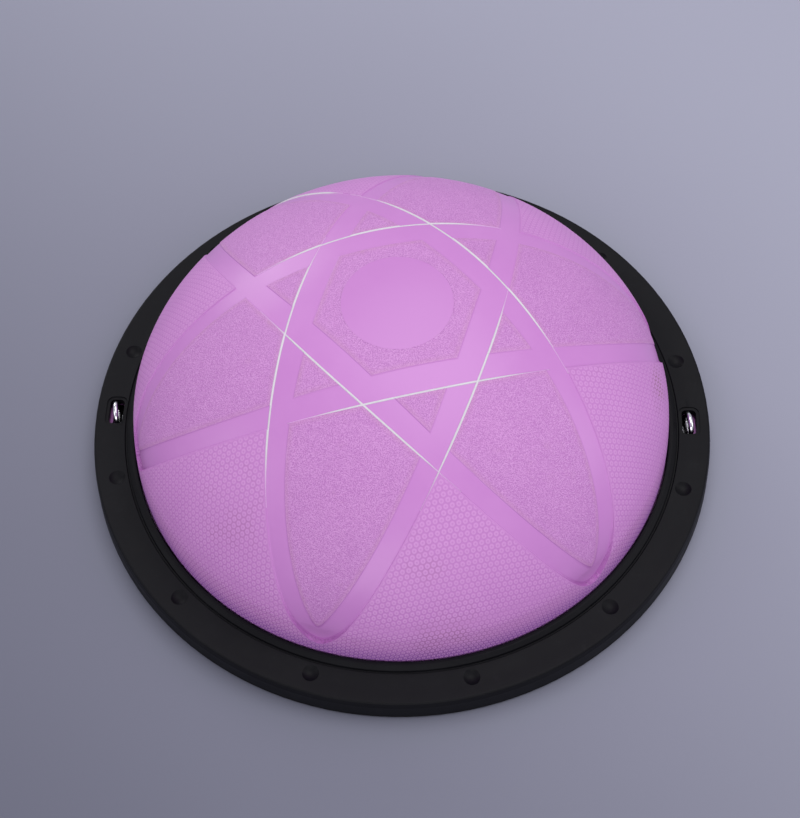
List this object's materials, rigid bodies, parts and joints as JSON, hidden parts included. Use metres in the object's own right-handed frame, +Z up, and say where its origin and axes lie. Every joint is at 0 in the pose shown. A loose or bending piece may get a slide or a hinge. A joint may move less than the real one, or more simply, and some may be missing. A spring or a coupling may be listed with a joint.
{
  "type": "balance dome trainer",
  "caption": "Half-ball balance trainer: an air-filled dome with a recessed star of crossing bands, clamped by a ring on a round base with anchor rings in its slots.",
  "frame": {"origin": "on the floor under the middle of the base", "axes": "+Z up through the dome's apex, X towards the right anchor ring, Y away from the side that the picture is taken from"},
  "size_m": [0.5997, 0.5998, 0.2258],
  "materials": {
    "black_plastic": "moulded polypropylene with a fine satin grain",
    "dome_pvc": "soft PVC with honeycomb, leather grain and smooth recessed bands",
    "valve_pvc": "soft PVC, welded into the dome's bottom",
    "plug_plastic": "smooth moulded polyethylene",
    "zinc_steel": "bright zinc plating",
    "chrome_wire": "polished chrome plating on round wire",
    "foot_rubber": "matt rubber"
  },
  "bodies": {
    "base": {"base_plate": "black_plastic", "top_ring": "black_plastic", "dome_bladder": "dome_pvc", "dome_flange": "dome_pvc", "valve_seat": "valve_pvc", "rim_screws": "zinc_steel", "ring_clip_right": "zinc_steel", "ring_clip_left": "zinc_steel", "clip_screw_right": "zinc_steel", "clip_screw_left": "zinc_steel", "foot_1": "foot_rubber", "foot_2": "foot_rubber", "foot_3": "foot_rubber", "foot_4": "foot_rubber", "foot_5": "foot_rubber", "foot_6": "foot_rubber", "foot_7": "foot_rubber", "foot_8": "foot_rubber"},
    "anchor_ring_right": {"anchor_ring_right": "chrome_wire"},
    "anchor_ring_left": {"anchor_ring_left": "chrome_wire"},
    "valve_plug": {"valve_plug": "plug_plastic"}
  },
  "joints": [
    {"name": "anchor_ring_right_rock", "type": "hinge", "parent": "base", "child": "anchor_ring_right", "pos_m": [0.27899, 0.00268, 0.0132], "axis": [-0.1487, 0.9889, 0], "range_deg": [-14, 14]},
    {"name": "anchor_ring_left_rock", "type": "hinge", "parent": "base", "child": "anchor_ring_left", "pos_m": [-0.27899, 0.00268, 0.0132], "axis": [0.1297, -0.9916, 0], "range_deg": [-14, 14]},
    {"name": "valve_plug_pull", "type": "slide", "parent": "base", "child": "valve_plug", "axis": [0, 0, -1], "range_m": [0, 0.03]}
  ]
}
